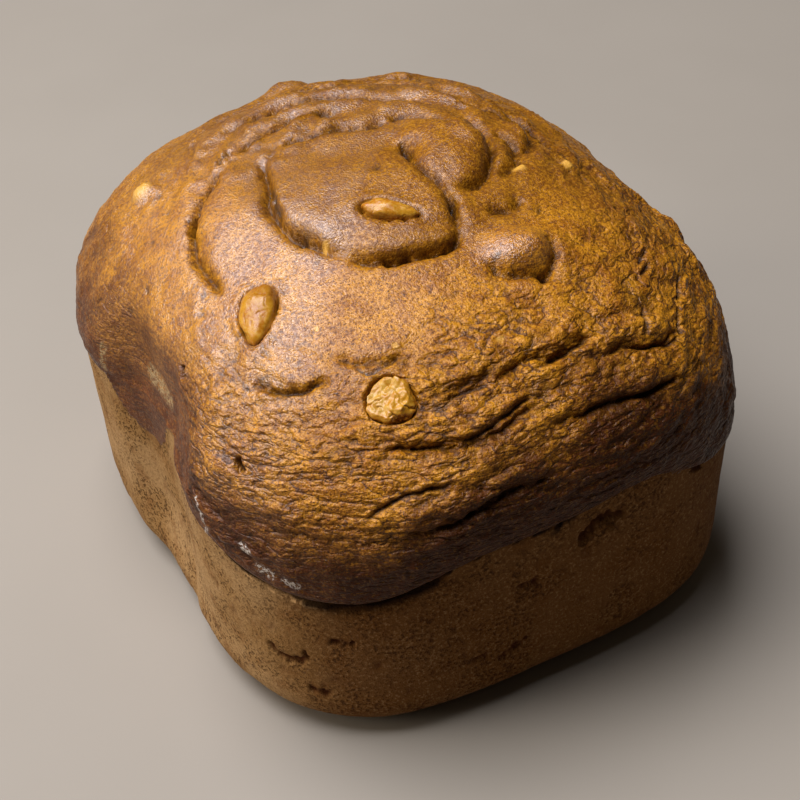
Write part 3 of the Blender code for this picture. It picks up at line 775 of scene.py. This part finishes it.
def rim_line(bearing):
    """How far the crust's edge lies above or below the solid's rim at each bearing."""
    turn = np.stack([70.0 * np.cos(bearing), 70.0 * np.sin(bearing), 0.0 * bearing], axis=-1)
    middle, half, drop = TONGUE
    drop = drop * np.exp(-(turned_from(bearing, middle) / half) ** 4)
    jagged = 0.5 + 1.1 * within(bearing, *RAGGED_EDGE)
    return jagged * lumps(turn, 5.5, 51, 4) - drop


def rim_gap(bearing, above):
    """How far the surface is cut back just under the crust's edge."""
    cut = np.zeros(len(bearing))
    for middle, half, depth, tall in RIM_GAPS:
        share = np.exp(-(turned_from(bearing, middle) / half) ** 4)
        tall_here = tall * (0.35 + 0.65 * share)
        across = np.exp(-((above + 0.4 * tall_here) / tall_here) ** 4)
        cut = np.maximum(cut, depth * share * across)
    return cut


def spread(points, normals, rows):
    """0 to 1 near any of several paths, given as (half width, places)."""
    out = np.zeros(len(points))
    for half, spots in rows:
        near, gap, _, _ = near_path(points, normals, smooth_path(spots), 2.5 * half)
        out[near] = np.maximum(out[near], np.exp(-(gap / half) ** 2))
    return out


def put(mesh, name, values):
    """Stores one number for each vertex, for the material to read."""
    layer = mesh.attributes.new(name, "FLOAT", "POINT")
    layer.data.foreach_set("value", np.asarray(values, np.float32))


def add_piece(name, points, faces, finish):
    """A smooth mesh object from points in millimetres on the plan's own centre."""
    mesh = bpy.data.meshes.new(name)
    shifted = points - np.array([*BOX_CENTRE, 0.0])
    mesh.from_pydata((shifted * MM).tolist(), [], faces)
    mesh.materials.append(finish)
    mesh.shade_smooth()
    made = bpy.data.objects.new(name, mesh)
    bpy.context.scene.collection.objects.link(made)
    return made


def nut_pockets(points, out, shade):
    """Sinks the crust under each walnut piece, with a low rim and painted shade round its edge."""
    for row in WALNUTS:
        _, _, _, length, width, height, _, taper, _ = row
        centre, long_way, side_way, up_way = nut_axes(row)
        offset = points - centre
        far = offset @ long_way / (length / 2.0)
        narrowed = width / 2.0 * (1.0 - taper * np.clip(far, -1.0, 1.0))
        r = np.hypot(far, offset @ side_way / narrowed)
        near = np.abs(offset @ up_way) < 8.0
        inside = (1.0 - smooth(0.98, 1.14, r)) * near
        bed = -(offset @ up_way) - height / 2.0 * np.sqrt(np.clip(1.0 - r ** 2, 0.0, 1.0))
        out = out + inside * np.minimum(bed - NUT_POCKET_GAP - out, 0.0)
        outside = (r - 1.0) * narrowed
        out = out + 0.35 * near * np.exp(-((outside - 0.9) / 0.7) ** 2)
        # Painted shade in the gap round the piece.
        shade = np.maximum(shade, 0.5 * near * np.exp(-(outside / 0.4) ** 2))
    return out, shade


def store_looks(mesh, plain, normals, bearing, level, above):
    """Stores where the crust is browned, wrinkled, darkened partly by toasting and partly as painted
    shade, dusty or tinted by nut, and where the rim gets a painted highlight.
    """
    put(mesh, "above_rim", above)
    put(mesh, "dust", spread(plain, normals, DUST))
    put(mesh, "flake", spread(plain, normals, FLAKES))
    tints = [(radius, (spot, (spot[0] + 0.1, spot[1]))) for radius, spot in NUT_TINTS]
    put(mesh, "nut_tint", spread(plain, normals, tints))
    # Browned higher up on the front right, partly as painted shade of the side away from the light.
    low = 1.0 - smooth(4.0, 32.0 + 10.0 * within(bearing, *HIGH_BROWN_AND_SHADE), above)
    left = within(bearing, *LEFT_BROWN) * (1.0 - smooth(2.2, 2.5, level))
    put(mesh, "bake", np.clip(np.maximum(low, 0.75 * left), 0.0, 1.0))
    far_skin = within(bearing, *BACK_SKIN) * smooth(2.3, 2.55, level)
    calm = np.exp(-(np.linalg.norm(plain - place(CALM_LUMP), axis=1) / CALM_RADIUS) ** 4)
    put(mesh, "skin", 0.65 * (1.0 - calm) * np.maximum(far_skin, smooth(2.66, 2.74, level)))
    facing = np.maximum(within(bearing, *DEEP_WRINKLES), 0.5) * (1.0 - 0.85 * calm)
    up_to = 2.24 + 0.28 * within(bearing, *HIGH_WRINKLES) + 0.08 * lumps(plain, 20.0, 61, 2)
    put(mesh, "wrinkled", facing * (0.15 + 0.85 * (1.0 - smooth(up_to, up_to + 0.25, level))))
    # Darker on the front and right: partly toasting, partly painted shade of the side away from the
    # light.
    put(mesh, "toasted_and_shaded", within(bearing, *TOASTED_AND_SHADED) * (1.0 - calm))
    # A painted highlight on the lit top of the pan side, just under the crust's edge.
    put(mesh, "rim_highlight", within(bearing, *RIM_HIGHLIGHT))


def make_loaf(finish):
    """The loaf as one closed mesh that stands for the solid of the same form."""
    flat, faces = laid_flat()
    flat, faces = made_finer(flat, faces)
    bearing, level = places_of(flat)
    plain = plain_loaf(bearing, level)
    normals = normals_at(bearing, level)
    above = plain[:, 2] - around(RIM_HEIGHT, bearing) - rim_line(bearing)

    on_crown = smooth(-0.6, 0.8, above) * smooth(0.3, 0.6, level)
    on_foot = smooth(0.03, 0.12, level)
    out_crown, dark, crevice = crown_relief(plain, normals, bearing, level)
    out_side, crumb = side_relief(plain, normals)
    easing = smooth(0.0, EDGE_EASING, above)
    out = on_crown * (0.25 + 0.75 * easing) * out_crown + (1.0 - on_crown) * on_foot * out_side
    out = out + EDGE_THICKNESS * on_crown * (1.0 - smooth(0.5, 3.0, above))
    out = out - rim_gap(bearing, above + GAP_BELOW_EDGE)
    shade = np.maximum(dark * on_crown, smooth(0.1, 0.5, rim_gap(bearing, above + SHADE_BELOW_EDGE)))
    out, shade = nut_pockets(plain, out, shade)

    points = plain + normals * out[:, None]
    points[:, 2] = np.maximum(points[:, 2], 0.0)
    loaf = add_piece("loaf_crust", points, faces, finish)
    # Painted shade in cracks, creases, pits, round the nuts and under the crust's edge, for the material
    # to darken.
    put(loaf.data, "painted_shade", shade)
    put(loaf.data, "crevice", crevice)
    put(loaf.data, "crumb", crumb * (1.0 - on_crown))
    store_looks(loaf.data, plain, normals, bearing, level, above)
    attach(loaf, "root")
    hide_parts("loaf")
    return loaf


def make_walnut(row, finish):
    """A walnut piece on the form of its solid, with finer lumps and furrows."""
    name, _, _, length, width, height, _, taper, broken = row
    ball = bmesh.new()
    bmesh.ops.create_icosphere(ball, subdivisions=6, radius=1.0)
    faces = [tuple(v.index for v in face.verts) for face in ball.faces]
    directions = np.array([v.co[:] for v in ball.verts])
    ball.free()
    centre, long_way, side_way, up_way = nut_axes(row)
    seed = Vector((len(name), width, height))
    wide_lumps = np.array([noise.noise(Vector(d) * LUMPS_PER_RADIUS + seed) for d in directions])
    half = np.array([length / 2.0, width / 2.0, height / 2.0])
    local = directions * half * (1.0 + WALNUT_LUMPS * wide_lumps)[:, None]
    local[:, 1:] *= 1.0 - taper * directions[:, :1]
    top = half[2] * (broken + BREAK_SLANT * directions[:, 0])
    flat_top = smooth(-0.4, 0.2, local[:, 2] - top)
    local[:, 2] = np.minimum(local[:, 2], top)
    rough, along_skin, across_skin = NUT_LOOKS[name]
    furrow_noise = lumps(local, 3.4, len(name) + 1, 3)
    furrow = np.exp(-(furrow_noise / 0.09) ** 2) * smooth(0.0, 0.25, lumps(local, 4.5, len(name), 1))
    chips = lumps(local, 1.6, len(name) + 5, 2) * flat_top
    grown = rough * (0.7 * furrow_noise - furrow) + 0.55 * chips + 0.03 * lumps(local, 0.8, 3, 2)
    local = local + directions * grown[:, None]
    points = centre + local[:, :1] * long_way + local[:, 1:2] * side_way + local[:, 2:] * up_way
    nut = add_piece(name + "_piece", points, faces, finish)
    put(nut.data, "furrow", furrow)
    put(nut.data, "broken_face", flat_top)
    along = smooth(*along_skin, local[:, 0] / half[0] + 0.2 * furrow_noise)
    across = smooth(*across_skin, local[:, 1] / half[1] + 0.2 * furrow_noise)
    put(nut.data, "skin", np.maximum(along, across))
    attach(nut, "root")
    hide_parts(name)
    return nut


def linear(hex_colour):
    """An sRGB hex colour as linear red, green, blue and alpha."""
    channels = [int(hex_colour[i:i + 2], 16) / 255.0 for i in (0, 2, 4)]
    return tuple(c / 12.92 if c <= 0.04045 else ((c + 0.055) / 1.055) ** 2.4 for c in channels) + (1.0,)


def per_metre(millimetres):
    """The scale of a texture whose features repeat at this size."""
    return 1.0 / (millimetres * MM)


def add(tree, kind, *values, **named):
    """Adds a node and gives its first live output.

    The kind holds the node's type and settings. Values fill its live inputs in order, and named
    ones fill the inputs of those names. Each is a number, an sRGB hex colour or a socket to link.
    """
    made = tree.nodes.new(kind[0])
    for setting, value in kind[1].items():
        setattr(made, setting, value)
    filled = list(zip([socket for socket in made.inputs if socket.enabled], values))
    filled += [(made.inputs[name.replace("_", " ")], value) for name, value in named.items()]
    for socket, value in filled:
        if isinstance(value, bpy.types.NodeSocket):
            tree.links.new(value, socket)
        else:
            socket.default_value = linear(value) if isinstance(value, str) else value
    return next((socket for socket in made.outputs if socket.enabled), None)


def new_material(name, fields, patterns):
    """A material, its add(), the object's coordinates, and sockets of its fields and patterns."""
    made = bpy.data.materials.new(name)
    made.use_nodes = True
    made.node_tree.nodes.clear()
    node = partial(add, made.node_tree)
    where = node(COORDINATES).node.outputs["Object"]
    stored = [node(("ShaderNodeAttribute", {"attribute_name": field})).node.outputs["Fac"]
              for field in fields]
    noises = [node(NOISE, where, per_metre(size), detail, rough) for size, detail, rough in patterns]
    return made, node, where, stored, noises


def baked_crust():
    """Quick-bread crust, browned by oven air on top and by the pan's wall at the sides.

    The top is golden to red-brown, slightly glossy from sugar and oil, and grainy with fine
    crumbs. The sides are matt tan with dark pores where the dough met the metal.
    """
    made, node, where, stored, noises = new_material("baked_crust", CRUST_FIELDS, CRUST_PATTERNS)
    above, bake, painted_shade, crevice, crumb, dust, flake, nut_tint, rim_highlight, skin, toasted_and_shaded, wrinkled = stored
    wide, patch, grain, speck, ragged, cluster, pores = noises

    edge = node(PLUS, above, node(RANGE, ragged, 0.3, 0.7, -0.7, 0.7))
    top = node(RANGE, edge, -0.25, 0.25)
    below = node(MINUS, 1.0, top)

    # Folded skin: humps between the lines where a flattened noise crosses its middle, with painted shade
    # along those crease lines.
    cells = node(STRETCH, where, CELL_STRETCH)
    long_cells, short_cells = (
        node(UNSIGNED, node(MINUS, node(NOISE, cells, per_metre(size), 2.0, 0.5), 0.5))
        for size in CELL_SIZES)
    puffs = node(PLUS, node(RANGE, long_cells, 0.0, 0.11, 0.0, 0.40),
                 node(RANGE, short_cells, 0.0, 0.13, 0.0, 0.20))
    crease_shade = node(LARGER, node(RANGE, long_cells, 0.0, 0.030, 0.8, 0.0),
                   node(RANGE, short_cells, 0.0, 0.028, 0.45, 0.0))

    # The crown: golden on top and browner to the rim, then darker and lighter crumbs over it.
    baked = node(PLUS, bake, node(RANGE, wide, 0.35, 0.65, -0.16, 0.16))
    blotch = node(RANGE, patch, 0.35, 0.65)
    golden = node(MIX, skin, node(MIX, blotch, "9C5F06", "BC7C0E"), "704200")
    brown = node(MIX, blotch, "482006", "6A3A16")
    crown = node(MIX, node(RANGE, baked, 0.1, 0.9), golden, brown)
    contrast = node(MINUS, 1.0, node(TIMES, skin, 0.3))
    lighter = node(TIMES, node(RANGE, grain, 0.50, 0.38, 0.0, 0.45), contrast)
    for share, tint in (
        # Darker on the front and right: partly toasting, partly painted shade.
        (node(TIMES, toasted_and_shaded, node(RANGE, baked, 0.3, 1.0, 0.0, 0.75)), "2C1103"),
        (node(TIMES, node(RANGE, grain, 0.50, 0.64, 0.0, 0.75), contrast), "5A2D06"),
        (node(TIMES, lighter, node(RANGE, baked, 0.1, 0.9, 1.0, 0.3)), "DE9C30"),
        (node(TIMES, node(RANGE, speck, 0.60, 0.72, 0.0, 0.8), contrast), "3A1B05"),
        # Painted shade along the wrinkles' crease lines.
        (node(TIMES, crease_shade, wrinkled), "381703"),
        # Darker patchy brown in the fold valleys: partly crumbly crust, partly painted shade.
        (node(TIMES, crevice, node(RANGE, ragged, 0.42, 0.58, 0.0, 0.7)), "4E2C06"),
    ):
        crown = node(MIX, share, crown, tint)

    # The pan side: tan, darker at the front right, partly by toasting and partly as painted shade, with
    # pores, torn crumb and a painted highlight under the crust's edge.
    porous = node(TIMES, node(RANGE, pores, 0.54, 0.64), node(RANGE, cluster, 0.42, 0.62, 0.25, 1.0))
    side = node(MIX, node(RANGE, wide, 0.35, 0.65), "B08B5C", "9C7544")
    for share, tint in (
        (node(RANGE, patch, 0.48, 0.68, 0.0, 0.55), "875C30"),
        # Darker at the front right: partly toasting, partly painted shade.
        (node(TIMES, toasted_and_shaded, 0.85), "61380B"),
        (node(RANGE, grain, 0.47, 0.34, 0.0, 0.25), "C9A271"),
        (node(RANGE, speck, 0.56, 0.70, 0.0, 0.5), "6B4623"),
        (node(TIMES, porous, 0.7), "4A2A10"),
        (crumb, "4A240A"),
        # Painted highlight: the lit top of the pan side under the crust's edge.
        (node(TIMES, node(RANGE, edge, -2.8, -2.1), rim_highlight), "D3A670"),
    ):
        side = node(MIX, share, side, tint)

    # Over both: painted shade in cracks, creases, pits, round the nuts and under the crust's edge, then
    # dust, flakes of pan skin and bits of nut.
    colour = node(MIX, top, side, crown)
    dusty = node(TIMES, dust, node(RANGE, grain, 0.42, 0.58, 0.15, 1.2))
    flaky = node(TIMES, flake, node(RANGE, grain, 0.42, 0.55, 0.0, 1.2))
    for share, tint in (
        # Painted shade, darkest in cracks and under the crust's edge.
        (node(TIMES, painted_shade, 0.92), "1C0B02"),
        (node(RANGE, dusty, 0.35, 0.85, 0.0, 0.85), "CFC4B8"),
        (node(RANGE, flaky, 0.3, 0.8, 0.0, 0.7), "B39768"),
        (node(RANGE, nut_tint, 0.25, 0.8), "D6A040"),
    ):
        colour = node(MIX, share, colour, tint)

    shine = node(PLUS, node(RANGE, wrinkled, 0.2, 0.9, 0.35, 0.43),
                 node(RANGE, grain, 0.3, 0.7, -0.10, 0.16))
    rough = node(PLUS, node(TIMES, shine, top), node(TIMES, 0.9, below))
    oily = top
    for share in (
        node(RANGE, baked, 0.1, 0.9, 1.0, 0.2),
        node(RANGE, wrinkled, 0.2, 0.8, 1.0, 0.6),
        node(RANGE, toasted_and_shaded, 0.0, 1.0, 1.0, 0.35),
        node(RANGE, crevice, 0.0, 0.8, 1.0, 0.15),
    ):
        oily = node(TIMES, oily, share)
    oily = node(PLUS, oily, 0.12)

    fine_height = node(PLUS, node(TIMES, grain, 0.28), node(TIMES, speck, 0.25))
    fine_height = node(TIMES, fine_height, node(RANGE, skin, 0.0, 0.65, 1.0, 0.8))
    crown_height = node(PLUS, fine_height, node(TIMES, puffs, wrinkled))
    side_height = node(MINUS, fine_height, node(TIMES, porous, 0.7))
    height = node(PLUS, node(TIMES, crown_height, top), node(TIMES, side_height, below))
    bump = node(BUMP, Strength=1.0, Distance=CRUST_BUMP * MM, Height=height)
    shader = node(PRINCIPLED, Base_Color=colour, Roughness=rough, Specular_IOR_Level=oily,
                  Normal=bump, IOR=1.5)
    node(OUTPUT, Surface=shader)
    return made


def walnut_flesh():
    """Toasted walnut, broken across and partly skinned: waxy cream flesh, golden in its furrows."""
    made, node, _, stored, (patch, fine) = new_material("walnut_flesh", WALNUT_FIELDS, WALNUT_PATTERNS)
    furrow, broken_face, skin = stored
    colour = node(MIX, node(RANGE, patch, 0.35, 0.65), "C08820", "A9690F")
    for share, tint in (
        (node(RANGE, fine, 0.45, 0.65, 0.0, 0.5), "CA9D3A"),
        (node(TIMES, broken_face, node(RANGE, patch, 0.48, 0.60, 0.0, 0.6)), "C8A040"),
        (node(TIMES, furrow, 0.55), "8A4C0C"),
        (node(TIMES, skin, 0.85), "8A5208"),
    ):
        colour = node(MIX, share, colour, tint)
    bump = node(BUMP, Strength=0.4, Distance=WALNUT_BUMP * MM, Height=fine)
    rough = node(RANGE, fine, 0.3, 0.7, 0.24, 0.42)
    shader = node(PRINCIPLED, Base_Color=colour, Roughness=rough, Normal=bump, IOR=1.47,
                  Subsurface_Weight=0.15, Subsurface_Radius=(1.0, 0.6, 0.25),
                  Subsurface_Scale=WALNUT_GLOW_DEPTH * MM)
    node(OUTPUT, Surface=shader)
    return made


def pale_floor():
    """Smooth matt plaster, cast: an even warm white."""
    made, node, _, _, (cloud,) = new_material("cast_plaster", (), FLOOR_PATTERNS)
    colour = node(MIX, node(RANGE, cloud, 0.3, 0.7), "958D80", "989083")
    node(OUTPUT, Surface=node(PRINCIPLED, Base_Color=colour, Roughness=0.7))
    mesh = bpy.data.meshes.new("floor")
    half = FLOOR_SIZE / 2.0
    mesh.from_pydata([(-half, -half, 0), (half, -half, 0), (half, half, 0), (-half, half, 0)], [],
                     [(0, 1, 2, 3)])
    mesh.materials.append(made)
    floor = bpy.data.objects.new("floor", mesh)
    floor.location.z = -FLOOR_GAP * MM
    bpy.context.scene.collection.objects.link(floor)


def soft_light(name, toward, distance, size, watts, colour):
    """A square area light that shines at the loaf from a direction."""
    lamp = bpy.data.lights.new(name, "AREA")
    lamp.shape = "SQUARE"
    lamp.size = size
    lamp.energy = watts
    lamp.color = linear(colour)[:3]
    made = bpy.data.objects.new(name, lamp)
    way = Vector(toward).normalized()
    made.location = way * distance + Vector((0.0, 0.0, LIT_HEIGHT))
    made.rotation_euler = way.to_track_quat("Z", "Y").to_euler()
    bpy.context.scene.collection.objects.link(made)


def light_the_scene():
    """A soft light overhead and a little to the left and back, a window at the left, a dim room."""
    for light in LIGHTS:
        soft_light(*light)
    world = bpy.data.worlds.new("room")
    bpy.context.scene.world = world
    world.use_nodes = True
    world.node_tree.nodes["Background"].inputs["Color"].default_value = linear(ROOM_COLOUR)
    world.node_tree.nodes["Background"].inputs["Strength"].default_value = ROOM_STRENGTH
    bpy.context.scene.view_settings.view_transform = "Standard"


def place_camera():
    """The camera where the photograph was taken from, worked out from the loaf's outline."""
    lens = bpy.data.cameras.new("camera")
    lens.sensor_width = SENSOR_WIDTH
    lens.lens = LENS
    made = bpy.data.objects.new("camera", lens)
    made.location = CAMERA_PLACE
    made.rotation_euler = Euler([math.radians(turn) for turn in CAMERA_TURNS], "XYZ")
    bpy.context.scene.collection.objects.link(made)
    bpy.context.scene.camera = made


place_camera()
crust = baked_crust()
make_loaf(crust)
flesh = walnut_flesh()
for walnut in WALNUTS:
    make_walnut(walnut, flesh)
pale_floor()
light_the_scene()
